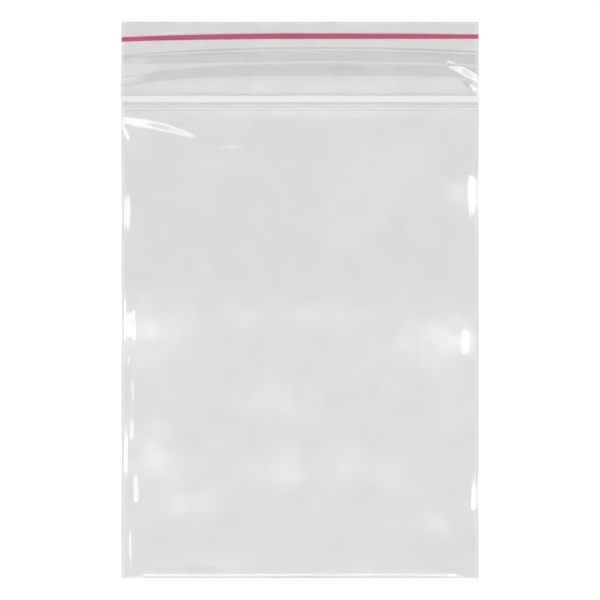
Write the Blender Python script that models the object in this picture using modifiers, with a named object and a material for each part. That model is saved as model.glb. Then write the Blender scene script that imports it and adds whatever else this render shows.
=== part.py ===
"""A small clear zipper bag of polythene film, empty, pressed shut and lying flat on its back wall.

Frame: metres, +Z up. The origin is at the bottom centre of the bag. X runs across it and +Y towards
its mouth. The back wall lies on z = 0, and the front wall, with the coloured line, is above it.
"""

import math

import bmesh
import bpy

# Bag, in metres
BAG_WIDTH = 0.060
USABLE_LENGTH = 0.080  # from the zipper's middle to the bottom fold
HEADER_LENGTH = 0.0136  # from the zipper's middle to the edge of the lips
FILM = 0.00005  # thickness of one wall

# How far the walls stand apart, inside
LIP_GAP = 0.00020
LIP_BEND = 0.0046  # from the lip edge to where the front wall starts to climb to the zipper
FOLD_GAP = 0.00020  # at the bottom fold, which is a half round
PILLOW_GAP = 0.00055  # of air trapped in the middle of the bag
SHOULDER_LENGTH = 0.0060  # along which the front wall comes down from the zipper

# Side welds
WELD_WIDTH = 0.0008
WELD_CRUSH = 0.30  # share of the inside height that the walls and the zipper keep in the weld
EDGE_SLOPE = 0.0032  # along which the front wall comes down to the weld

# Zipper: a barbed rib on the back wall, in a hooked channel on the front wall
BAND_WIDTH = 0.0024
UPPER_RIDGE_WIDTH = 0.0012  # raised along the band's lip side, on the front wall's outer face
LOWER_RIDGE_WIDTH = 0.0003  # raised along its bag side
RIDGE_HEIGHT = 0.00006
BASE_WIDTH = 0.0018
BASE_HEIGHT = 0.00008
STEM_WIDTH = 0.00024
NECK_HEIGHT = 0.00036  # underside of the barb, above the back wall
BARB_WIDTH = 0.00058
TIP_WIDTH = 0.00022
TIP_HEIGHT = 0.00068
ZIP_CLEARANCE = 0.00004  # between rib and channel, all round
HOOK_HEIGHT = 0.00012
LEG_WIDTH = 0.00016
ROOF_THICKNESS = 0.00012  # of the channel, under the front wall

# Coloured line on the front lip
STRIPE_DROP = 0.00236  # from the lip edge to the line's middle
STRIPE_WIDTH = 0.00084
STRIPE_THICKNESS = 0.00002
STRIPE_GAP = 0.00001  # keeps the line's mesh clear of the film's

# Fineness of the mesh
EDGE_STEPS = 5  # along each slope to a weld
MIDDLE_STEPS = 12  # across the bag between the slopes
BODY_STEPS = 14  # from the zipper's band to the bottom fold
FOLD_STEPS = 6  # round the bottom fold

FILM_COLOUR = (0.86, 0.88, 0.89, 1.0)
STRIPE_COLOUR = (0.58, 0.10, 0.20, 1.0)

BAG_LENGTH = USABLE_LENGTH + HEADER_LENGTH
MOUTH_Y = BAG_LENGTH / 2
FOLD_Y = -BAG_LENGTH / 2
ZIP_Y = MOUTH_Y - HEADER_LENGTH
WELD_X = BAG_WIDTH / 2 - WELD_WIDTH  # inner border of the right weld
ZIP_RISE = TIP_HEIGHT + ZIP_CLEARANCE + ROOF_THICKNESS  # front wall's inner face over the zipper


def smooth(share):
    """Goes from 0 to 1 with level ends, and stays there outside them."""
    share = min(max(share, 0.0), 1.0)
    return share * share * (3 - 2 * share)


def cross_stations():
    """The x of each cross-section between the welds' inner borders, left to right."""
    slope = [WELD_X - EDGE_SLOPE * i / EDGE_STEPS for i in range(EDGE_STEPS)]
    inner = WELD_X - EDGE_SLOPE
    middle = [inner * (1 - 2 * i / MIDDLE_STEPS) for i in range(MIDDLE_STEPS + 1)]
    return [-x for x in slope] + middle[::-1] + slope[::-1]


def openness(x):
    """Share of the inside height that the section at x keeps: all in the middle, crushed at a weld."""
    return WELD_CRUSH + (1 - WELD_CRUSH) * smooth((WELD_X - abs(x)) / EDGE_SLOPE)


def header_gap(y):
    """Height of the front wall's inner face over the back wall's, from the lip edge to the zipper."""
    climb = (MOUTH_Y - LIP_BEND - y) / (HEADER_LENGTH - LIP_BEND - BAND_WIDTH / 2)
    return LIP_GAP + (ZIP_RISE - LIP_GAP) * smooth(climb)


def body_gap(x, y):
    """The same height from the zipper to the bottom fold: a shoulder, then a low pillow of air."""
    below_band = ZIP_Y - BAND_WIDTH / 2 - y
    shoulder = 1 - smooth(below_band / SHOULDER_LENGTH)
    along = math.sin(math.pi * min(max(below_band / (USABLE_LENGTH - BAND_WIDTH / 2), 0), 1))
    across = 1 - min(abs(x) / WELD_X, 1) ** 2
    return openness(x) * (FOLD_GAP + (ZIP_RISE - FOLD_GAP) * shoulder) + PILLOW_GAP * along * across


def header_rows():
    """The y of each row on the front lip, from its edge to the zipper's band."""
    climb_start = MOUTH_Y - LIP_BEND
    climb_end = ZIP_Y + BAND_WIDTH / 2
    stripe = [MOUTH_Y - STRIPE_DROP + side * STRIPE_WIDTH / 2 for side in (1, -1)]
    climb_steps = 6
    climb = [climb_start + (climb_end - climb_start) * i / climb_steps for i in range(climb_steps)]
    return [MOUTH_Y] + stripe + climb


def body_rows():
    """The y of each row below the zipper's band, closer together on the shoulder."""
    top = ZIP_Y - BAND_WIDTH / 2
    end = FOLD_Y + FILM + FOLD_GAP
    return [top + (end - top) * (i / BODY_STEPS) ** 1.5 for i in range(1, BODY_STEPS)]


def channel_profile():
    """(y from the zipper's middle, height) round the channel's inner face, from lip side to bag side."""
    hook_top = NECK_HEIGHT - ZIP_CLEARANCE
    hook_bottom = hook_top - HOOK_HEIGHT
    leg = BARB_WIDTH / 2 + ZIP_CLEARANCE + LEG_WIDTH
    half = [
        (BAND_WIDTH / 2, ZIP_RISE),
        (leg, ZIP_RISE),
        (leg, hook_bottom),
        (STEM_WIDTH / 2 + ZIP_CLEARANCE, hook_bottom),
        (STEM_WIDTH / 2 + ZIP_CLEARANCE, hook_top),
        (BARB_WIDTH / 2 + ZIP_CLEARANCE, hook_top),
        (BARB_WIDTH / 2 + ZIP_CLEARANCE, NECK_HEIGHT),
        (TIP_WIDTH / 2 + ZIP_CLEARANCE, TIP_HEIGHT + ZIP_CLEARANCE),
    ]
    return half + [(-y, z) for y, z in half[::-1]]


def rib_profile():
    """(y from the zipper's middle, height) round the rib on the back wall, from bag side to lip side."""
    half = [
        (BASE_WIDTH / 2, 0),
        (BASE_WIDTH / 2, BASE_HEIGHT),
        (STEM_WIDTH / 2, BASE_HEIGHT),
        (STEM_WIDTH / 2, NECK_HEIGHT),
        (BARB_WIDTH / 2, NECK_HEIGHT),
        (TIP_WIDTH / 2, TIP_HEIGHT),
    ]
    return [(-y, z) for y, z in half] + half[::-1]


def band_profile():
    """(y from the zipper's middle, height) of the two raised ridges on the band, from lip side to bag side."""
    edge = BAND_WIDTH / 2
    upper_end, lower_start = edge - UPPER_RIDGE_WIDTH, LOWER_RIDGE_WIDTH - edge
    return [
        (edge, 0),
        (edge - RIDGE_HEIGHT, RIDGE_HEIGHT),
        (upper_end + RIDGE_HEIGHT, RIDGE_HEIGHT),
        (upper_end, 0),
        (lower_start, 0),
        (lower_start - RIDGE_HEIGHT, RIDGE_HEIGHT),
        (RIDGE_HEIGHT - edge, RIDGE_HEIGHT),
        (-edge, 0),
    ]


def fold_arc(x, radius_more):
    """(y, z) round the bottom fold, from the back wall to the front wall, at its inner radius or more."""
    inner = openness(x) * FOLD_GAP / 2
    centre_y = FOLD_Y + FILM + inner
    centre_z = FILM + inner
    radius = inner + radius_more
    turns = [math.pi * i / FOLD_STEPS for i in range(FOLD_STEPS + 1)]
    return [(centre_y - radius * math.sin(a), centre_z - radius * math.cos(a)) for a in turns]


def outer_section(x):
    """(y, z) round the outside at x: up the front from the fold, from the back lip to the front lip."""
    share = openness(x)
    back = [(MOUTH_Y, 0.0), (ZIP_Y, 0.0)]
    body = [(y, 2 * FILM + body_gap(x, y)) for y in body_rows()]
    band = [(ZIP_Y + y, 2 * FILM + share * (ZIP_RISE + z)) for y, z in band_profile()]
    header = [(y, 2 * FILM + share * header_gap(y)) for y in header_rows()]
    return back + fold_arc(x, FILM) + (header + band + body)[::-1]


def inner_section(x):
    """(y, z) round the inside at x, from the back lip down the rib to the fold and up to the front lip."""
    share = openness(x)
    rib = [(ZIP_Y + y, FILM + share * z) for y, z in rib_profile()[::-1]]
    body = [(y, FILM + body_gap(x, y)) for y in body_rows()]
    channel = [(ZIP_Y + y, FILM + share * z) for y, z in channel_profile()]
    header = [(y, FILM + share * header_gap(y)) for y in header_rows()]
    return [(MOUTH_Y, FILM)] + rib + fold_arc(x, 0) + (header + channel + body)[::-1]


def add_loops(mesh, section, stations):
    """One row of vertices for the section at each station."""
    return [[mesh.verts.new((x, y, z)) for y, z in section(x)] for x in stations]


def skin(mesh, loops):
    """Triangles between neighbouring rows, all split the same way so that two skins never cross."""
    for left, right in zip(loops, loops[1:]):
        for i in range(len(left) - 1):
            mesh.faces.new((left[i], right[i], right[i + 1]))
            mesh.faces.new((left[i], right[i + 1], left[i + 1]))


def strip(mesh, first, second):
    """Quads between two rows of vertices that run along each other."""
    for i in range(len(first) - 1):
        mesh.faces.new((first[i], second[i], second[i + 1], first[i + 1]))


def film_bag(collection):
    """The folded web with its zipper and side welds: a loft from the solid welds to the hollow middle."""
    mesh = bmesh.new()
    stations = cross_stations()
    ends = [-BAG_WIDTH / 2, BAG_WIDTH / 2]
    outer = add_loops(mesh, outer_section, [ends[0]] + stations + [ends[1]])
    inner = add_loops(mesh, inner_section, stations)
    skin(mesh, outer)
    skin(mesh, inner)
    hollow = outer[1:-1]
    strip(mesh, [loop[0] for loop in hollow], [loop[0] for loop in inner])
    strip(mesh, [loop[-1] for loop in hollow], [loop[-1] for loop in inner])
    for end, border, root in ((outer[0], outer[1], inner[0]), (outer[-1], outer[-2], inner[-1])):
        mesh.faces.new(end)
        mesh.faces.new(root)
        mesh.faces.new((end[0], border[0], root[0], root[-1], border[-1], end[-1]))
    bmesh.ops.recalc_face_normals(mesh, faces=mesh.faces)
    bag = make_object("film_bag", mesh, collection)
    bag.data.materials.append(material("clear_film", FILM_COLOUR, roughness=0.12, transmission=0.9))
    return bag


def lip_stripe(collection):
    """The coloured line: a strip of the front lip's outer face, lifted clear of it and thickened."""
    mesh = bmesh.new()
    stations = [-BAG_WIDTH / 2] + cross_stations() + [BAG_WIDTH / 2]
    rows = []
    for side in (1, -1):
        y = MOUTH_Y - STRIPE_DROP + side * STRIPE_WIDTH / 2
        heights = [2 * FILM + openness(x) * header_gap(y) + STRIPE_GAP for x in stations]
        rows.append([mesh.verts.new((x, y, z)) for x, z in zip(stations, heights)])
    strip(mesh, *rows)
    stripe = make_object("lip_stripe", mesh, collection)
    thicken = stripe.modifiers.new("ink", "SOLIDIFY")
    thicken.thickness = STRIPE_THICKNESS
    thicken.offset = 1.0
    stripe.data.materials.append(material("stripe_colour", STRIPE_COLOUR, roughness=0.35))
    return stripe


def material(name, colour, roughness, transmission=0.0):
    made = bpy.data.materials.new(name)
    made.use_nodes = True
    shader = made.node_tree.nodes["Principled BSDF"]
    shader.inputs["Base Color"].default_value = colour
    shader.inputs["Roughness"].default_value = roughness
    shader.inputs["Metallic"].default_value = 0.0
    shader.inputs["Transmission Weight"].default_value = transmission
    return made


def make_object(name, mesh, collection):
    data = bpy.data.meshes.new(name)
    mesh.to_mesh(data)
    mesh.free()
    made = bpy.data.objects.new(name, data)
    collection.objects.link(made)
    return made


def main():
    for old in list(bpy.data.objects):
        bpy.data.objects.remove(old)
    collection = bpy.data.collections.new("zipper_bag")
    bpy.context.scene.collection.children.link(collection)
    film_bag(collection)
    lip_stripe(collection)


main()
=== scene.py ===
"""Looks of a small clear zipper bag that lies flat on a white table, seen from straight above.

All lengths are in metres. X runs across the bag, +Y towards its mouth and +Z up. A drop is a distance
below the edge of the lips, along -Y, and an inset is a distance in from the bag's left side.
"""

import math
from collections import namedtuple

import bpy
import numpy as np
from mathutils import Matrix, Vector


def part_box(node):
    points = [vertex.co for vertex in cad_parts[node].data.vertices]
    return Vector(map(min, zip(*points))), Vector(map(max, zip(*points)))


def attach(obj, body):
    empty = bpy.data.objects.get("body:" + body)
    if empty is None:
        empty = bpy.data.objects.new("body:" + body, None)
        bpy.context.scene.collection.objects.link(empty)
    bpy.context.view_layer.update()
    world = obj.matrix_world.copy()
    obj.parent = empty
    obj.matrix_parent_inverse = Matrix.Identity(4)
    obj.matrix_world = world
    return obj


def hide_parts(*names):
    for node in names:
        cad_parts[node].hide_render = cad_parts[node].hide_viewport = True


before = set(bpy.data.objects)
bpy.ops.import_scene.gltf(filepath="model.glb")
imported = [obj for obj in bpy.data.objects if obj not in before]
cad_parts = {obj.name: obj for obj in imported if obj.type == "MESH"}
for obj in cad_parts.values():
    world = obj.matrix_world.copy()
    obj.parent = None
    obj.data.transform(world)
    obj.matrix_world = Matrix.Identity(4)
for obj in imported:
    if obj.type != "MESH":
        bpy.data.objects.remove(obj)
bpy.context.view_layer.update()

MM = 0.001

# The bag's outline, from the frame
BAG_LOW, BAG_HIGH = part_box("film_bag")
STRIPE_LOW, STRIPE_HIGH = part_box("lip_stripe")
HALF_WIDTH = (BAG_HIGH.x - BAG_LOW.x) / 2
MOUTH_Y, FOLD_Y = BAG_HIGH.y, BAG_LOW.y
BAG_LENGTH = MOUTH_Y - FOLD_Y

# The film, as the solids have it but for its slope to the welds, which is longer and softer here
FILM = 0.05 * MM
LIP_GAP = 0.20 * MM
FOLD_GAP = 0.20 * MM
PILLOW_GAP = 0.55 * MM
SHOULDER_LENGTH = 6.0 * MM
WELD_WIDTH = 0.4 * MM
WELD_CRUSH = 0.30
EDGE_SLOPE = 10 * MM  # how far in from a weld the inside height starts to fall
WELD_X = HALF_WIDTH - WELD_WIDTH

# The zipper, as the solids have it
HEADER_LENGTH = 13.6 * MM  # from the lip edge to the zipper's middle
ZIP_Y = MOUTH_Y - HEADER_LENGTH
BAND = 2.4 * MM
UPPER_RIDGE = 1.2 * MM
LOWER_RIDGE = 0.3 * MM
RIDGE_HEIGHT = 0.06 * MM
CLEARANCE = 0.04 * MM
BASE_HALF, BASE_HEIGHT = 0.9 * MM, 0.08 * MM
STEM_HALF, NECK_HEIGHT = 0.12 * MM, 0.36 * MM
BARB_HALF, TIP_HALF, TIP_HEIGHT = 0.29 * MM, 0.11 * MM, 0.68 * MM
HOOK_HEIGHT, LEG_WIDTH, ROOF = 0.12 * MM, 0.16 * MM, 0.12 * MM
ZIP_RISE = TIP_HEIGHT + CLEARANCE + ROOF

# The front lip's climb to the zipper, in runs. Each has the drop at which it ends and its slope in
# degrees, both first over most of the bag's width and then at its left side.
Run = namedtuple("Run", "end side_end slope side_slope")
LIP_RUNS = (
    Run(4.25 * MM, 4.50 * MM, 1.4, 1.4),
    Run(4.58 * MM, 4.60 * MM, 0.3, 0.3),
    Run(4.85 * MM, 4.65 * MM, 0.5, 0.5),
    Run(5.30 * MM, 4.80 * MM, 0.3, 0.3),
    Run(6.70 * MM, 5.80 * MM, 5.5, 5.5),
    Run(6.95 * MM, 9.00 * MM, 0.5, 2.2),
    Run(9.20 * MM, 10.9 * MM, 5.5, 5.5),
    Run(12.4 * MM, 12.4 * MM, 2.9, 2.9),
)
CREASE_RUNS = 4  # the first runs, whose ends bound the two lines of the crease across the lip
CREASE_BOW = 0.95 * MM  # how far this crease drops from its top to the sides
CREASE_TOP_X = 4.0 * MM
BOW_END, BOW_FADE = 6 * MM, 6 * MM  # the drop down to which the bow is whole, and the length of its fading
CREASE_SLOPE = 0.10  # of the back wall under the crease, as rise over run
CREASE_LINE = 0.17 * MM  # half the width of each of the crease's two lines

# Folds in the film: a crest from start to end, each as (inset, drop). Its flank, on the right as one
# goes along it, is width wide and as steep as slope, in degrees, and its back runs out gently.
Fold = namedtuple("Fold", "start end width slope back")
FOLDS = (
    Fold((65.5 * MM, 13.8 * MM), (52.5 * MM, 6.4 * MM), 1.45 * MM, 7, 5.0 * MM),
    Fold((62.9 * MM, 14.3 * MM), (56.1 * MM, 9.8 * MM), 1.10 * MM, 8.5, 1.6 * MM),
    Fold((-7.0 * MM, 14.5 * MM), (10.8 * MM, 17.5 * MM), 1.50 * MM, 5.8, 4.0 * MM),
    Fold((2.0 * MM, 15.4 * MM), (17.8 * MM, 20.4 * MM), 1.45 * MM, 7.3, 4.0 * MM),
    Fold((0.2 * MM, 16.4 * MM), (1.9 * MM, 21.2 * MM), 0.55 * MM, 9.5, 1.2 * MM),
    Fold((1.8 * MM, 25.4 * MM), (1.5 * MM, 38.5 * MM), 1.60 * MM, 9.8, 4.0 * MM),
    Fold((0.8 * MM, 41.5 * MM), (0.8 * MM, 58.5 * MM), 0.75 * MM, 11, 6.0 * MM),
    Fold((2.5 * MM, 47.1 * MM), (2.5 * MM, 54.7 * MM), 1.80 * MM, 10.5, 5.0 * MM),
    Fold((1.5 * MM, 55.6 * MM), (1.5 * MM, 58.5 * MM), 0.50 * MM, 11.5, 1.2 * MM),
    Fold((2.1 * MM, 58.6 * MM), (2.1 * MM, 65.4 * MM), 0.55 * MM, 11.5, 1.5 * MM),
    Fold((2.2 * MM, 65.4 * MM), (2.1 * MM, 72.0 * MM), 0.90 * MM, 11, 3.0 * MM),
    Fold((1.2 * MM, 64.8 * MM), (1.1 * MM, 80.8 * MM), 1.00 * MM, 9.8, 4.0 * MM),
    Fold((2.8 * MM, 74.2 * MM), (2.9 * MM, 82.4 * MM), 0.95 * MM, 11.5, 4.0 * MM),
    Fold((1.7 * MM, 82.4 * MM), (1.7 * MM, 93.6 * MM), 0.55 * MM, 11.5, 1.2 * MM),
    Fold((58.1 * MM, 36.4 * MM), (58.1 * MM, 22.2 * MM), 2.20 * MM, 10, 5.0 * MM),
    Fold((57.0 * MM, 57.4 * MM), (57.0 * MM, 50.2 * MM), 1.60 * MM, 8.7, 4.0 * MM),
    Fold((58.6 * MM, 85.1 * MM), (58.6 * MM, 74.1 * MM), 1.80 * MM, 9.3, 4.0 * MM),
)
FLANK_BEND = 0.17  # the share of a flank that bends at each end

# Where the film looks paler: many patches are painted highlights, glows and reflections, noted one by one
# below, and the rest are where the two walls lie pressed together. Each patch by its middle as (inset,
# drop), half its width, half its height and its strength
Patch = namedtuple("Patch", "middle half_width half_height strength")
LOWER_CLING = 0.30  # how much the lower half clings all over
LOWER_CLING_DROP, LOWER_CLING_LENGTH = 38 * MM, 16 * MM  # where that starts, and how long it takes to grow
PALE_AND_GLOW_PATCHES = (
    # painted reflections: the paler band across the lip above the zipper, and in the next line the one below
    # it
    Patch((30.0 * MM, 11.0 * MM), 30.0 * MM, 1.2 * MM, 0.5),
    Patch((31.7 * MM, 15.4 * MM), 26.0 * MM, 0.9 * MM, 0.8),
    # painted highlight: the glint below the zipper
    Patch((18.0 * MM, 21.1 * MM), 1.6 * MM, 0.38 * MM, 1.4),
    Patch((14.9 * MM, 24.0 * MM), 6.0 * MM, 1.3 * MM, 0.35),
    Patch((45.0 * MM, 25.7 * MM), 12.0 * MM, 6.0 * MM, 0.35),
    # painted glow beside the fold at the right side
    Patch((58.6 * MM, 29.4 * MM), 3.4 * MM, 2.3 * MM, 1.6),
    Patch((38.5 * MM, 35.0 * MM), 5.5 * MM, 5.0 * MM, 0.3),
    Patch((30.0 * MM, 49.8 * MM), 14.0 * MM, 2.2 * MM, 0.45),
    # painted glow beside the folds at the left side
    Patch((4.4 * MM, 52.7 * MM), 5.0 * MM, 4.6 * MM, 1.2),
    # painted glow beside the folds at the right side, here and in the next line
    Patch((52.8 * MM, 53.5 * MM), 6.6 * MM, 4.2 * MM, 1.0),
    Patch((57.7 * MM, 53.6 * MM), 1.9 * MM, 1.8 * MM, 1.3),
    Patch((25.0 * MM, 63.6 * MM), 5.5 * MM, 2.8 * MM, 0.6),
    # painted glow beside the folds at the left side
    Patch((5.6 * MM, 73.0 * MM), 4.6 * MM, 5.0 * MM, 0.9),
    Patch((36.8 * MM, 74.6 * MM), 3.2 * MM, 2.6 * MM, 0.7),
    Patch((26.7 * MM, 75.4 * MM), 4.6 * MM, 3.2 * MM, 0.7),
    Patch((46.0 * MM, 77.0 * MM), 3.6 * MM, 2.6 * MM, 0.6),
    Patch((11.5 * MM, 80.5 * MM), 5.0 * MM, 2.8 * MM, 0.7),
    # painted glow beside the fold at the right side
    Patch((52.5 * MM, 84.5 * MM), 2.6 * MM, 1.6 * MM, 0.5),
    # painted reflection of something darker, by its strength below 0
    Patch((56.5 * MM, 90.0 * MM), 3.4 * MM, 3.4 * MM, -0.4),
    # painted highlight: a faint line above the bottom fold
    Patch((14.0 * MM, 90.9 * MM), 7.0 * MM, 0.5 * MM, 0.5),
)

# The front wall's own forms, away from the zipper and the welds: low waves, a little loft that holds them
# off the back wall, and a roll just above the bottom fold
WAVE_SEED, WAVE_COUNT = 5, 14
WAVE_HEIGHT, SHORTEST_WAVE, LONGEST_WAVE = 0.035 * MM, 9 * MM, 30 * MM
LOFT = 0.05 * MM
CALM_LENGTH = 3 * MM  # how far the zipper keeps the wall flat
WELD_CALM_LENGTH = 5 * MM  # how far a weld does
FOLD_ROLL, ROLL_LENGTH, ROLL_BACK = 0.105 * MM, 1.0 * MM, 8 * MM

# The ruffle along both sides below the zipper
RUFFLE_HEIGHT, RUFFLE_REACH = 0.05 * MM, 1.5 * MM
RUFFLE_LENGTH = 5.3 * MM
RUFFLE_DRIFT, DRIFT_LENGTH = 2.2, 6 * MM  # what makes the ruffle uneven
RUFFLE_START, RUFFLE_GROWTH, RUFFLE_END = 6 * MM, 8 * MM, 6 * MM

EDGE_PULL = 0.7  # how far a side of the bag is drawn in where the film stands up, by its height there
PULL_INSET, PULL_REACH = 0.9 * MM, 1.2 * MM  # where that height is taken, and how far in the pull reaches

# The mesh's sections across the bag and its rows along it. Steps are (start, end, step).
SIDE_BAND = 7 * MM  # how far in from a weld the sections are close together
SIDE_STATIONS, MIDDLE_STATIONS = 34, 30
HEADER_STEPS = (
    (0, 4.1 * MM, 0.3 * MM),
    (4.1 * MM, 7.2 * MM, 0.1 * MM),
    (7.2 * MM, HEADER_LENGTH - BAND / 2 - 0.1 * MM, 0.2 * MM),
)
BODY_TOP_STEPS = (0.2 * MM, 7 * MM, 0.25 * MM)  # down from the zipper's band
BODY_END_STEPS = (0.15 * MM, 1.6 * MM, 0.15 * MM)  # up from the bottom fold
BODY_ROWS = 126
BACK_STEPS = ((0, 6 * MM, 1.2 * MM), (6 * MM, 22 * MM, 0.35 * MM))
BACK_LOWER_ROWS = 64
ARC_POINTS = 9  # round the bottom fold
SHARP_ANGLE = 35

# The coloured line: how far it lies below the middle of its box, how much further at each side, its width
# as a share of its box's, how much less that is at the sides, and the heights of its strip over the lip
LINE_DROP, LINE_SAG_LEFT, LINE_SAG_RIGHT = 0.07 * MM, 0.55 * MM, 0.08 * MM
LINE_SHARE, LINE_TAPER = 1.10, 0.24
LINE_FOOT, LINE_TOP = 0.01 * MM, 0.03 * MM
LINE_COLOUR = (0.46, 0.055, 0.14, 1)

# Values that the points of the film's mesh are marked with
BURIED = -1.0  # the milk value of the inner faces in the zipper and welds, which touch and don't mirror
LEFT_WELD_SHADE = 0.8  # how strongly the left weld's dark line is painted in as shade, where the right one's is 1
GROOVE_SHADE = 0.55  # how strongly the groove between the band's two ridges is darkened with painted shade
CREASE_SHADE = 0.30  # how strongly the crease's lines are darkened with painted shade

# The film's material. A tint is what one of its faces lets through.
PLAIN_TINT = (0.931, 0.931, 0.931, 1)
CLEAREST_TINT = (1, 1, 1, 1)
BURIED_TINT = (0.975, 0.975, 0.975, 1)
# the tint where painted shade is whole: on the welds' lines, in the zipper's groove and on the crease
SHADE_TINT = (0.86, 0.86, 0.865, 1)
PATCH_SHARE = 0.26  # how much of the film's grey is gone in the paler patches, painted highlights and glows among them
PATCH_SCALE, PATCH_NOISE, PATCH_RANGE = 230.0, (0.35, 0.62), (0.7, 1.2)  # how ragged those patches are
HUE_SHARE, HUE_SCALE = 0.006, 140.0  # of the faint stray colour in the film
HAZE_SCALE, HAZE_NOISE, HAZE_RANGE = 70.0, (0.40, 0.64), (0.003, 0.018)
MILK_SHARE = 0.74  # how white the zipper's ridges are
LEAST_MIRROR, MIRROR_POWER = 0.04, 5.0
SHARP_ROUGHNESS, BLURRED_ROUGHNESS, BLURRED_SHARE = 0.09, 0.30, 0.15
MATT_WHITE = (0.9, 0.9, 0.9, 1)
FILM_FACES = 40  # how many faces of the film one ray may pass, there and back, through the zipper

# The lamps and the world. Tilts are in degrees from straight up, and a level is how bright a face looks.
OVERHEAD_HEIGHT = 1.5
CEILING_REACH, GAP_NEAR, GAP_HALF_WIDTH = 0.52, 0.35, 0.19
CEILING_LEVEL = 1.7
SOFTBOX_DISTANCE, SOFTBOX_TILTS, SOFTBOX_WIDTH, SOFTBOX_LEVEL = 1.2, (18, 36), 0.57, 4.9
CARDS = 8
CARD_DISTANCE = 1.9
Ring = namedtuple("Ring", "name low_tilt high_tilt width level")
CARD_RINGS = (Ring("inner", 19, 27, 0.62, 5.2), Ring("outer", 27, 58, 0.88, 1.7))
WATTS_PER_LEVEL = 4  # a lamp's power for each square metre of its face and each unit of its level
WORLD_HEIGHTS = (0.30, 0.60)  # the sines of the angles up at which the horizon ends and the ceiling starts
WORLD_LEVELS = (0.75, 0.15)
TABLE_REACH, TABLE_DROP, TABLE_GLOW = 3.0, 0.02 * MM, 0.1

CAMERA_HEIGHT = 0.56
SENSOR_WIDTH = 36
PHOTO_SIDE = 600
BAG_PIXELS = 356.5  # the bag's width in the photograph
PHOTO_WIDTH = PHOTO_SIDE / BAG_PIXELS * 2 * HALF_WIDTH  # what the picture spans at the bag


def smooth(share):
    """Goes from 0 to 1 with level ends, and stays there outside them."""
    share = np.clip(share, 0.0, 1.0)
    return share * share * (3 - 2 * share)


def openness(x):
    """Share of the inside height that the section at x keeps: all in the middle, crushed at a weld."""
    return WELD_CRUSH + (1 - WELD_CRUSH) * smooth((WELD_X - np.abs(x)) / EDGE_SLOPE)


def bowed_drop(x, y):
    """The drop in the middle of the bag that has the same place on the crease across the lip as (x, y)."""
    drop = MOUTH_Y - y
    bow = CREASE_BOW * ((x - CREASE_TOP_X) / HALF_WIDTH) ** 2
    return drop - bow * smooth(drop / LIP_RUNS[0].end) * (1 - smooth((drop - BOW_END) / BOW_FADE))


def sideways(x):
    """0 over most of the bag's width and 1 at its left side."""
    return np.clip(-x / HALF_WIDTH, 0, 1) ** 4


def run_end(run, x):
    """The drop at which a run ends at x."""
    return run.end + (run.side_end - run.end) * sideways(x)


def crease_ends(x):
    """The drops at which the crease's two lines start and end at x."""
    return [run_end(run, x) for run in LIP_RUNS[:CREASE_RUNS]]


def header_gap(x, y):
    """Height of the front wall's inner face over the back wall's, from the lip edge to the zipper."""
    drop = bowed_drop(x, y)
    climb = np.zeros_like(drop)
    whole = 0.0
    start = 0.0
    for run in LIP_RUNS:
        end = run_end(run, x)
        slope = np.tan(np.radians(run.slope + (run.side_slope - run.slope) * sideways(x)))
        climb += slope * np.clip(drop - start, 0, end - start)
        whole += slope * (end - start)
        start = end
    return LIP_GAP + climb * (ZIP_RISE - LIP_GAP) / whole


def body_gap(x, y):
    """The same height from the zipper to the bottom fold: a shoulder, then a low pillow of air."""
    below = ZIP_Y - BAND / 2 - y
    shoulder = 1 - smooth(below / SHOULDER_LENGTH)
    along = np.sin(np.pi * np.clip(below / (BAG_LENGTH - HEADER_LENGTH - BAND / 2), 0, 1))
    across = 1 - np.minimum(np.abs(x) / WELD_X, 1) ** 2
    return openness(x) * (FOLD_GAP + (ZIP_RISE - FOLD_GAP) * shoulder) + PILLOW_GAP * along * across


def fold_height(fold, x, y):
    """Height that one fold adds at (x, y)."""
    start = np.array([fold.start[0] - HALF_WIDTH, MOUTH_Y - fold.start[1]])
    end = np.array([fold.end[0] - HALF_WIDTH, MOUTH_Y - fold.end[1]])
    length = np.hypot(*(end - start))
    along = (end - start) / length
    share = ((x - start[0]) * along[0] + (y - start[1]) * along[1]) / length
    right = (x - start[0]) * along[1] - (y - start[1]) * along[0]
    highest = math.tan(math.radians(fold.slope)) * fold.width * (1 - FLANK_BEND)
    height = highest * np.clip(1 - (2 * share - 1) ** 2, 0, 1) ** 2
    return height * np.where(right > 0, ramp(1 - right / fold.width), smooth(1 + right / fold.back))


def ramp(share):
    """Goes from 0 to 1 at one slope but for a short bend at each end, and stays there outside them."""
    share = np.clip(share, 0.0, 1.0)
    middle = (share - FLANK_BEND / 2) / (1 - FLANK_BEND)
    first = share ** 2 / (2 * FLANK_BEND * (1 - FLANK_BEND))
    last = 1 - (1 - share) ** 2 / (2 * FLANK_BEND * (1 - FLANK_BEND))
    return np.where(share < FLANK_BEND, first, np.where(share > 1 - FLANK_BEND, last, middle))


def waves(x, y):
    """Low soft waves in all directions, the same each run."""
    random = np.random.default_rng(WAVE_SEED)
    total = np.zeros_like(x)
    for _ in range(WAVE_COUNT):
        length = random.uniform(SHORTEST_WAVE, LONGEST_WAVE)
        turn = random.uniform(0, 2 * np.pi)
        phase = random.uniform(0, 2 * np.pi)
        along = x * np.cos(turn) + y * np.sin(turn)
        total += np.sin(2 * np.pi * along / length + phase) * length / LONGEST_WAVE
    return WAVE_HEIGHT * total / math.sqrt(WAVE_COUNT)


def hollow_share(x):
    """0 in the welds and 1 a little way in from them."""
    return smooth((WELD_X - np.abs(x)) / WELD_CALM_LENGTH)


def crease_lift(x, y):
    """How far the back wall rises under the crease across the lip. It comes down again by the zipper."""
    drop = bowed_drop(x, y)
    ends = crease_ends(x)
    climb = np.clip(drop - ends[0], 0, ends[1] - ends[0]) + np.clip(drop - ends[2], 0, ends[3] - ends[2])
    return CREASE_SLOPE * climb * (1 - smooth((drop - ends[3]) / (HEADER_LENGTH - BAND / 2 - ends[3])))


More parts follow.
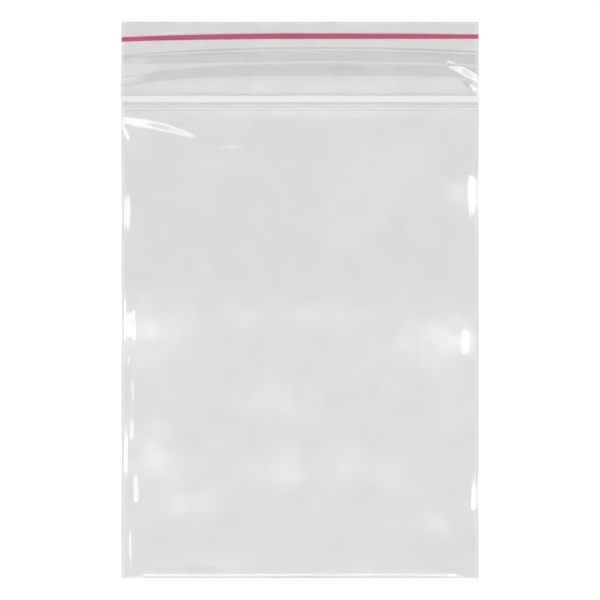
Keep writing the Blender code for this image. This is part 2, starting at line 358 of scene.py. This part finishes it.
def crease_shade(x, y):
    """1 on the two lines of the crease across the lip, which are darkened with painted shade, and 0
    elsewhere.
    """
    drop = bowed_drop(x, y)
    ends = crease_ends(x)
    lines = ((ends[0] + ends[1]) / 2, (ends[2] + ends[3]) / 2)
    return sum(np.exp(-(((drop - line) / CREASE_LINE) ** 2)) for line in lines)


def pale_and_glow(x, y):
    """How pale the film looks at (x, y): where its walls lie pressed together and in painted highlights and
    glows.
    """
    inset, drop = x + HALF_WIDTH, MOUTH_Y - y
    patches = np.zeros_like(x)
    for patch in PALE_AND_GLOW_PATCHES:
        across = (inset - patch.middle[0]) / patch.half_width
        down = (drop - patch.middle[1]) / patch.half_height
        patches += patch.strength * np.exp(-(across ** 2) - down ** 2)
    return LOWER_CLING * smooth((drop - LOWER_CLING_DROP) / LOWER_CLING_LENGTH) + patches


def both_walls_lift(x, y):
    """How far both walls together stand up from the table at (x, y). The back wall rises to the front one
    at the welds, where they join."""
    below = ZIP_Y - BAND / 2 - y
    front = np.where(below < -BAND, header_gap(x, y), ZIP_RISE * (1 - smooth(below / SHOULDER_LENGTH)))
    lift = (1 - openness(x)) * front + crease_lift(x, y)
    lift = lift + sum(fold_height(fold, x, y) for fold in FOLDS)
    edge = np.exp(-(HALF_WIDTH - np.abs(x)) / RUFFLE_REACH)
    drift = RUFFLE_DRIFT * np.sin(y / DRIFT_LENGTH)
    ruffle = 0.5 + 0.5 * np.sin(2 * np.pi * y / RUFFLE_LENGTH + drift + np.sign(x))
    growth = smooth((ZIP_Y - RUFFLE_START - y) / RUFFLE_GROWTH) * smooth((y - FOLD_Y) / RUFFLE_END)
    return lift + RUFFLE_HEIGHT * edge * ruffle * growth


def front_wall_lift(x, y):
    """How far the front wall alone stands up further at (x, y)."""
    away = 1 - np.exp(-(((y - ZIP_Y) / CALM_LENGTH) ** 2))
    above = y - FOLD_Y
    roll = FOLD_ROLL * smooth(above / ROLL_LENGTH) * (1 - smooth((above - ROLL_LENGTH) / ROLL_BACK))
    return ((waves(x, y) + LOFT) * away + roll) * hollow_share(x)


def shape_film(points, wall):
    """Moves the flat film's points into its folds. wall is 0 on the back wall and 1 on the front wall."""
    x, y = points[..., 0].copy(), points[..., 1].copy()
    lift = both_walls_lift(x, y)
    points[..., 2] += lift + wall * front_wall_lift(x, y)
    edge = np.sign(x) * (HALF_WIDTH - PULL_INSET)
    pull = EDGE_PULL * sum(fold_height(fold, edge, y) for fold in FOLDS)
    points[..., 0] -= np.sign(x) * pull * np.exp(-(HALF_WIDTH - np.abs(x)) / PULL_REACH)
    return points


def cross_stations():
    """The x of each cross-section, left to right: close together at the sides, where the film is crimped."""
    outer = np.linspace(WELD_X, WELD_X - SIDE_BAND, SIDE_STATIONS)
    middle = np.linspace(WELD_X - SIDE_BAND, 0, MIDDLE_STATIONS)[1:]
    half = np.concatenate([outer, middle])
    return np.concatenate([-half, half[-2::-1]])


def header_rows():
    """The y of each row on the front lip, closest together at its crease."""
    return MOUTH_Y - np.concatenate([np.arange(*steps) for steps in HEADER_STEPS])


def body_rows():
    """The y of each row on the front wall below the zipper's band."""
    upper = ZIP_Y - BAND / 2 - np.arange(*BODY_TOP_STEPS)
    lower = FOLD_Y + FILM + FOLD_GAP + np.arange(*BODY_END_STEPS)[::-1]
    return np.concatenate([upper, np.linspace(upper[-1], lower[0], BODY_ROWS)[1:-1], lower])


def back_rows():
    """The y of each row on the back wall, from the lip down to the fold, closest together where it has folds
    that run across."""
    upper = [np.arange(*steps) for steps in BACK_STEPS]
    lower = np.linspace(BACK_STEPS[-1][1], BAG_LENGTH - FILM - FOLD_GAP, BACK_LOWER_ROWS)[:-1]
    return MOUTH_Y - np.concatenate([*upper, lower])


def channel_profile():
    """(y from the zipper's middle, height) round the channel's inner face, from lip side to bag side."""
    hook_top = NECK_HEIGHT - CLEARANCE
    hook_bottom = hook_top - HOOK_HEIGHT
    leg = BARB_HALF + CLEARANCE + LEG_WIDTH
    half = [
        (BAND / 2, ZIP_RISE),
        (leg, ZIP_RISE),
        (leg, hook_bottom),
        (STEM_HALF + CLEARANCE, hook_bottom),
        (STEM_HALF + CLEARANCE, hook_top),
        (BARB_HALF + CLEARANCE, hook_top),
        (BARB_HALF + CLEARANCE, NECK_HEIGHT),
        (TIP_HALF + CLEARANCE, TIP_HEIGHT + CLEARANCE),
    ]
    return np.array(half + [(-y, z) for y, z in half[::-1]])


def rib_profile():
    """(y from the zipper's middle, height) round the rib on the back wall, from lip side to bag side."""
    half = [
        (BASE_HALF, 0),
        (BASE_HALF, BASE_HEIGHT),
        (STEM_HALF, BASE_HEIGHT),
        (STEM_HALF, NECK_HEIGHT),
        (BARB_HALF, NECK_HEIGHT),
        (TIP_HALF, TIP_HEIGHT),
    ]
    return np.array(half + [(-y, z) for y, z in half[::-1]])


def band_profile():
    """(y from the zipper's middle, height) of the band's two raised ridges, from lip side to bag side."""
    edge = BAND / 2
    upper_end, lower_start = edge - UPPER_RIDGE, LOWER_RIDGE - edge
    return np.array([
        (edge, 0),
        (edge - RIDGE_HEIGHT, RIDGE_HEIGHT),
        (upper_end + RIDGE_HEIGHT, RIDGE_HEIGHT),
        (upper_end, 0),
        (lower_start, 0),
        (lower_start - RIDGE_HEIGHT, RIDGE_HEIGHT),
        (RIDGE_HEIGHT - edge, RIDGE_HEIGHT),
        (-edge, 0),
    ])


def section(x, outside):
    """Rows of y, z, wall, milk and grey, the share of painted shade, round the film's outer or inner face
    at x, from back lip to front lip."""
    share = openness(x)
    face = FILM if outside else 0.0
    back_y = back_rows()
    if outside:
        back = np.stack([back_y, np.zeros_like(back_y), np.zeros_like(back_y)])
        zipper = band_profile()
        zipper_height = share * ZIP_RISE + zipper[:, 1]
        zipper_milk = (zipper[:, 1] > 0) * 1.0
        # painted shade in the groove between the band's two ridges
        zipper_shade = GROOVE_SHADE * (np.abs(zipper[:, 0]) < BAND / 2) * (zipper[:, 1] == 0)
    else:
        above = back_y[back_y > ZIP_Y + BASE_HALF]
        below = back_y[back_y < ZIP_Y - BASE_HALF]
        rib = rib_profile()
        back = np.stack([
            np.concatenate([above, ZIP_Y + rib[:, 0], below]),
            FILM + share * np.concatenate([0 * above, rib[:, 1], 0 * below]),
            np.concatenate([0 * above, BURIED + 0 * rib[:, 0], 0 * below]),
        ])
        zipper = channel_profile()
        zipper_height = share * zipper[:, 1]
        zipper_milk = BURIED * (np.abs(zipper[:, 0]) < BAND / 2)
        zipper_shade = 0 * zipper_milk
    inner_radius = share * FOLD_GAP / 2
    turn = np.linspace(0, np.pi, ARC_POINTS)
    radius = inner_radius + face
    arc = np.stack([
        FOLD_Y + FILM + inner_radius - radius * np.sin(turn),
        FILM + inner_radius - radius * np.cos(turn),
        np.zeros_like(turn),
    ])
    header_y, body_y = header_rows(), body_rows()
    front = np.stack([
        np.concatenate([header_y, ZIP_Y + zipper[:, 0], body_y]),
        FILM + face + np.concatenate([
            share * header_gap(x, header_y), zipper_height, body_gap(x, body_y),
        ]),
        np.concatenate([0 * header_y, zipper_milk, 0 * body_y]),
    ])[:, ::-1]
    y, z, milk = np.concatenate([back, arc, front], axis=1)
    wall = np.concatenate([np.zeros(back.shape[1]), turn / np.pi, np.ones(front.shape[1])])
    grey = np.zeros_like(y)
    start = len(y) - len(header_y) - len(zipper)
    grey[start:start + len(zipper)] = zipper_shade[::-1]
    return np.array([y, z, wall, milk, grey])


def skin(stations, outside):
    """The shaped points of the outer or inner face by station and by place round it, their milk and their
    grey, which is painted shade."""
    rows = np.array([section(x, outside) for x in stations])
    x = np.repeat(stations[:, None], rows.shape[2], axis=1)
    return shape_film(np.stack([x, rows[:, 0], rows[:, 1]], axis=-1), rows[:, 2]), rows[:, 3], rows[:, 4]


def skin_faces(at):
    """Quads between neighbouring stations of a face whose points are numbered by at."""
    return np.stack([at[:-1, :-1], at[1:, :-1], at[1:, 1:], at[:-1, 1:]], axis=-1).reshape(-1, 4).tolist()


def cap(chain, y):
    """Faces across one section at its left, seen from the left. chain numbers its points from back lip to
    front lip, and y is where each lies."""
    tip = int(np.argmin(y))
    back, front = chain[:tip], chain[:tip:-1]
    back_y, front_y = y[:tip], y[:tip:-1]
    faces = [[back[-1], chain[tip], front[-1]]]
    i = j = 0
    while i < len(back) - 1 or j < len(front) - 1:
        if j == len(front) - 1 or (i < len(back) - 1 and back_y[i + 1] > front_y[j + 1]):
            faces.append([back[i], back[i + 1], front[j]])
            i += 1
        else:
            faces.append([back[i], front[j + 1], front[j]])
            j += 1
    return faces


def weld_faces(outside, root, outside_y, root_y):
    """Faces that close the weld at the left side. outside holds the outer face's first three sections,
    from the edge to the first inner section, and root is that inner section."""
    mouth = [*outside[:, 0], root[0], root[-1], *outside[::-1, -1]]
    return cap(outside[0], outside_y) + [face[::-1] for face in cap(root, root_y)] + [mouth[::-1]]


def film_bag():
    """The film with its zipper and welds, as one closed skin: outer face, inner face, lip edges and caps."""
    stations = cross_stations()
    ends = np.array([HALF_WIDTH, HALF_WIDTH - WELD_WIDTH / 2])
    outer, outer_milk, outer_shade = skin(np.concatenate([-ends, stations, ends[::-1]]), outside=True)
    inner, inner_milk, inner_shade = skin(stations, outside=False)
    inner_milk[[0, -1]] = BURIED
    outer_at = np.arange(outer_milk.size).reshape(outer_milk.shape)
    inner_at = outer_milk.size + np.arange(inner_milk.size).reshape(inner_milk.shape)
    hollow = outer_at[len(ends):-len(ends)]
    faces = skin_faces(outer_at) + skin_faces(inner_at[:, ::-1])
    faces += skin_faces(np.stack([inner_at[:, 0], hollow[:, 0]], axis=1))
    faces += skin_faces(np.stack([hollow[:, -1], inner_at[:, -1]], axis=1))
    faces += weld_faces(outer_at[:len(ends) + 1], inner_at[0], outer[0, :, 1], inner[0, :, 1])
    right_weld = weld_faces(outer_at[:-len(ends) - 2:-1], inner_at[-1], outer[-1, :, 1], inner[-1, :, 1])
    faces += [face[::-1] for face in right_weld]
    points = np.concatenate([outer.reshape(-1, 3), inner.reshape(-1, 3)])
    bag = make_object("clear_film_bag", points, faces)
    bag.data.shade_smooth()
    bag.data.set_sharp_from_angle(angle=math.radians(SHARP_ANGLE))
    # painted shade: a dark line at each weld, in place of the one its bead's edge makes, fainter on the left
    outer_shade[:len(ends)] = LEFT_WELD_SHADE
    outer_shade[-len(ends):] = 1
    grey = np.concatenate([outer_shade.ravel(), inner_shade.ravel()])
    x, y = points[:, 0], points[:, 1]
    mark(bag, "milk", np.concatenate([outer_milk.ravel(), inner_milk.ravel()]))
    # painted shade: the welds' dark lines, the zipper's groove and the crease's lines
    mark(bag, "grey", np.maximum(grey, CREASE_SHADE * crease_shade(x, y)))
    # paler patches, painted highlights and glows among them, and where the walls lie pressed together
    mark(bag, "cling_and_glow", pale_and_glow(x, y))
    bag.data.materials.append(film_material())
    return bag


def mark(made, name, values):
    """Stores one number at each point of a mesh, for its material to read."""
    made.data.attributes.new(name, "FLOAT", "POINT").data.foreach_set("value", values)


def make_object(name, points, faces):
    """A mesh object in the scene, from its points and from the numbers of each face's points."""
    mesh = bpy.data.meshes.new(name)
    mesh.from_pydata(points.tolist(), [], [[int(v) for v in face] for face in faces])
    made = bpy.data.objects.new(name, mesh)
    bpy.context.scene.collection.objects.link(made)
    return made


def add_node(tree, kind, inputs=(), **settings):
    """A shader node with its settings, and with each of its inputs linked to a socket or set to a value."""
    node = tree.nodes.new("ShaderNode" + kind)
    for name, value in settings.items():
        setattr(node, name, value)
    for name, value in dict(inputs).items():
        if isinstance(value, bpy.types.NodeSocket):
            tree.links.new(value, node.inputs[name])
        else:
            node.inputs[name].default_value = value
    return node


def arithmetic(tree, operation, *values):
    """The result of one operation on sockets or numbers."""
    return add_node(tree, "Math", dict(enumerate(values)), operation=operation).outputs[0]


def blend_colours(tree, share, first, second):
    """A colour part of the way from the first to the second."""
    node = add_node(tree, "Mix", {0: share, 6: first, 7: second}, data_type="RGBA")
    return node.outputs[2]


def spread(tree, value, low, high, low_result, high_result):
    """A value carried smoothly from one range to another, with flat ends."""
    node = add_node(tree, "MapRange", {
        "Value": value, "From Min": low, "From Max": high, "To Min": low_result, "To Max": high_result,
    }, interpolation_type="SMOOTHSTEP")
    return node.outputs["Result"]


def film_material():
    """Clear polythene: see-through and faintly grey, with a gloss that mirrors more at a slant, and a haze
    that clouds it in places. The zipper's thick parts are milkier. Painted shade darkens the welds' lines,
    the zipper's groove and the crease, and painted highlights and glows make the film paler in patches."""
    made = bpy.data.materials.new("clear_film")
    made.use_nodes = True
    tree = made.node_tree
    tree.nodes.clear()
    position = add_node(tree, "TexCoord").outputs["Object"]
    milk = add_node(tree, "Attribute", attribute_name="milk").outputs["Fac"]
    painted_shade = add_node(tree, "Attribute", attribute_name="grey").outputs["Fac"]
    cling_and_glow = add_node(tree, "Attribute", attribute_name="cling_and_glow").outputs["Fac"]

    cloud = add_node(tree, "TexNoise", {
        "Vector": position, "Scale": HAZE_SCALE, "Detail": 3.0, "Roughness": 0.55, "Distortion": 0.4,
    }).outputs["Fac"]
    haze = spread(tree, cloud, *HAZE_NOISE, *HAZE_RANGE)
    ragged = add_node(tree, "TexNoise", {
        "Vector": position, "Scale": PATCH_SCALE, "Detail": 1.5,
    }).outputs["Fac"]
    patches = arithmetic(tree, "MULTIPLY", cling_and_glow, spread(tree, ragged, *PATCH_NOISE, *PATCH_RANGE))
    ridge = arithmetic(tree, "MAXIMUM", milk, 0.0)
    buried = spread(tree, milk, BURIED, 0.0, 1.0, 0.0)
    haze = arithmetic(tree, "MULTIPLY_ADD", ridge, MILK_SHARE, haze)

    hue = add_node(tree, "TexNoise", {"Vector": position, "Scale": HUE_SCALE, "Detail": 2.0}).outputs["Color"]
    tint = blend_colours(tree, HUE_SHARE, PLAIN_TINT, hue)
    # paler film in patches, painted highlights and glows among them
    tint = blend_colours(tree, arithmetic(tree, "MULTIPLY", patches, PATCH_SHARE), tint, CLEAREST_TINT)
    tint = blend_colours(tree, buried, tint, BURIED_TINT)
    # painted shade at the welds, in the zipper's groove and on the crease's lines
    tint = blend_colours(tree, painted_shade, tint, SHADE_TINT)

    facing = add_node(tree, "LayerWeight", {"Blend": 0.5}).outputs["Facing"]
    slanted = arithmetic(tree, "POWER", facing, MIRROR_POWER)
    mirror = arithmetic(tree, "MULTIPLY_ADD", slanted, 1 - LEAST_MIRROR, LEAST_MIRROR)
    mirror = arithmetic(tree, "MULTIPLY", mirror, arithmetic(tree, "SUBTRACT", 1.0, buried))

    clear = add_node(tree, "BsdfTransparent", {"Color": tint}).outputs[0]
    white = add_node(tree, "BsdfDiffuse", {"Color": MATT_WHITE}).outputs[0]
    sharp = add_node(tree, "BsdfGlossy", {"Roughness": SHARP_ROUGHNESS}).outputs[0]
    blurred = add_node(tree, "BsdfGlossy", {"Roughness": BLURRED_ROUGHNESS}).outputs[0]
    gloss = add_node(tree, "MixShader", {0: BLURRED_SHARE, 1: sharp, 2: blurred}).outputs[0]
    body = add_node(tree, "MixShader", {0: haze, 1: clear, 2: white}).outputs[0]
    face = add_node(tree, "MixShader", {0: mirror, 1: body, 2: gloss}).outputs[0]
    add_node(tree, "OutputMaterial", {"Surface": face})
    return made


def lip_stripe():
    """The coloured line, a thin strip that follows the front lip and bows a little, as the print does."""
    x = np.concatenate([[-HALF_WIDTH], cross_stations(), [HALF_WIDTH]])
    middle = (STRIPE_LOW.y + STRIPE_HIGH.y) / 2
    left, right = np.clip(-x / HALF_WIDTH, 0, 1), np.clip(x / HALF_WIDTH, 0, 1)
    bow = LINE_DROP + LINE_SAG_LEFT * left ** 2 + LINE_SAG_RIGHT * right ** 2
    half = (STRIPE_HIGH.y - STRIPE_LOW.y) / 2 * (LINE_SHARE - LINE_TAPER * (x / HALF_WIDTH) ** 2)
    rows = []
    for side, lift in ((1, LINE_FOOT), (1, LINE_TOP), (-1, LINE_TOP), (-1, LINE_FOOT)):
        y = middle - bow + side * half
        z = 2 * FILM + openness(x) * header_gap(x, y) + lift
        rows.append(np.stack([x, y, z], axis=1))
    rows = shape_film(np.array(rows), 1.0)
    at = np.arange(rows.shape[0] * rows.shape[1]).reshape(rows.shape[:2])
    faces = skin_faces(np.vstack([at, at[:1]])) + [at[::-1, 0].tolist(), at[:, -1].tolist()]
    stripe = make_object("lip_line", rows.reshape(-1, 3), faces)
    made = bpy.data.materials.new("stripe_colour")
    made.use_nodes = True
    shader = made.node_tree.nodes["Principled BSDF"]
    shader.inputs["Base Color"].default_value = LINE_COLOUR
    shader.inputs["Roughness"].default_value = 0.35
    shader.inputs["Specular IOR Level"].default_value = 0.2
    stripe.data.materials.append(made)
    return stripe


def softbox(name, azimuth, low_tilt, high_tilt, width, level, distance):
    """A lamp that faces the bag from one side and reaches from a low to a high tilt."""
    around = math.radians(azimuth)
    down = math.radians((low_tilt + high_tilt) / 2)
    height = 2 * distance * math.tan(math.radians((high_tilt - low_tilt) / 2))
    position = distance * np.array([
        math.sin(down) * math.cos(around), math.sin(down) * math.sin(around), math.cos(down),
    ])
    return add_lamp(name, position, (down, 0, around + math.pi / 2), (width, height), level)


def add_lamp(name, position, rotation, size, level):
    """A flat lamp. An unturned one faces straight down."""
    lamp = bpy.data.lights.new(name, "AREA")
    lamp.shape = "RECTANGLE"
    lamp.size, lamp.size_y = size
    lamp.energy = level * size[0] * size[1] * WATTS_PER_LEVEL
    lit = bpy.data.objects.new(name, lamp)
    lit.location = position
    lit.rotation_euler = rotation
    bpy.context.scene.collection.objects.link(lit)
    return lit


def ceiling_lamp(name, low, high):
    """A part of the ceiling, between two corners."""
    middle = ((low[0] + high[0]) / 2, (low[1] + high[1]) / 2, OVERHEAD_HEIGHT)
    return add_lamp(name, middle, (0, 0, 0), (high[0] - low[0], high[1] - low[1]), CEILING_LEVEL)


def lamps():
    """Three softboxes light the table. The film mirrors a bright ceiling with a dark gap towards the mouth,
    and two rings of cards beyond the ceiling, which show only in its gloss."""
    ceiling_lamp("ceiling", (-CEILING_REACH, -CEILING_REACH), (CEILING_REACH, GAP_NEAR))
    for side in (-1, 1):
        near, far = sorted((side * GAP_HALF_WIDTH, side * CEILING_REACH))
        ceiling_lamp(f"ceiling_{side}", (near, GAP_NEAR), (far, CEILING_REACH))
    for name, azimuth in (("left_softbox", 180), ("right_softbox", 0), ("near_softbox", 270)):
        light = softbox(name, azimuth, *SOFTBOX_TILTS, SOFTBOX_WIDTH, SOFTBOX_LEVEL, SOFTBOX_DISTANCE)
        light.visible_glossy = False
    for number in range(CARDS):
        azimuth = 360 * number / CARDS
        for ring in CARD_RINGS:
            card = softbox(f"{ring.name}_card_{number + 1}", azimuth, *ring[1:], CARD_DISTANCE)
            card.visible_diffuse = False


def table_top():
    """A white table, which glows a little so that the picture's ground comes out white and keeps shadows."""
    corners = TABLE_REACH * np.array([(-1, -1, 0), (1, -1, 0), (1, 1, 0), (-1, 1, 0)])
    table = make_object("table_top", corners, [(0, 1, 2, 3)])
    table.location.z = -TABLE_DROP
    made = bpy.data.materials.new("white_table")
    made.use_nodes = True
    tree = made.node_tree
    tree.nodes.clear()
    paper = add_node(tree, "BsdfDiffuse", {"Color": MATT_WHITE}).outputs[0]
    glow = add_node(tree, "Emission", {"Strength": TABLE_GLOW}).outputs[0]
    both = add_node(tree, "AddShader", {0: paper, 1: glow}).outputs[0]
    add_node(tree, "OutputMaterial", {"Surface": both})
    table.data.materials.append(made)


def studio_world():
    """A pale horizon and a dim ceiling, which is what the film mirrors between the lamps. The camera sees
    plain white."""
    made = bpy.data.worlds.new("studio")
    bpy.context.scene.world = made
    made.use_nodes = True
    tree = made.node_tree
    direction = add_node(tree, "TexCoord").outputs["Generated"]
    height = add_node(tree, "SeparateXYZ", {0: direction}).outputs["Z"]
    light = spread(tree, height, *WORLD_HEIGHTS, *WORLD_LEVELS)
    seen = add_node(tree, "LightPath").outputs["Is Camera Ray"]
    light = add_node(tree, "Mix", {"Factor": seen, "A": light, "B": 1.0}).outputs["Result"]
    tree.links.new(light, tree.nodes["Background"].inputs["Strength"])


def camera():
    """Looks straight down on the bag's middle and spans as much as the photograph."""
    made = bpy.data.cameras.new("camera")
    made.sensor_width = SENSOR_WIDTH
    made.lens = SENSOR_WIDTH * CAMERA_HEIGHT / PHOTO_WIDTH
    seen = bpy.data.objects.new("camera", made)
    seen.location = (0, 0, CAMERA_HEIGHT)
    bpy.context.scene.collection.objects.link(seen)
    bpy.context.scene.camera = seen


def place(piece, node):
    """Hands a piece over in place of its node of the frame."""
    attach(piece, "root")
    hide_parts(node)


def main():
    scene = bpy.context.scene
    scene.view_settings.view_transform = "Standard"
    scene.cycles.transparent_max_bounces = FILM_FACES
    scene.cycles.use_light_tree = False  # less grain, as most of the lamps show only in the gloss
    camera()
    studio_world()
    table_top()
    lamps()
    place(film_bag(), "film_bag")
    place(lip_stripe(), "lip_stripe")


main()
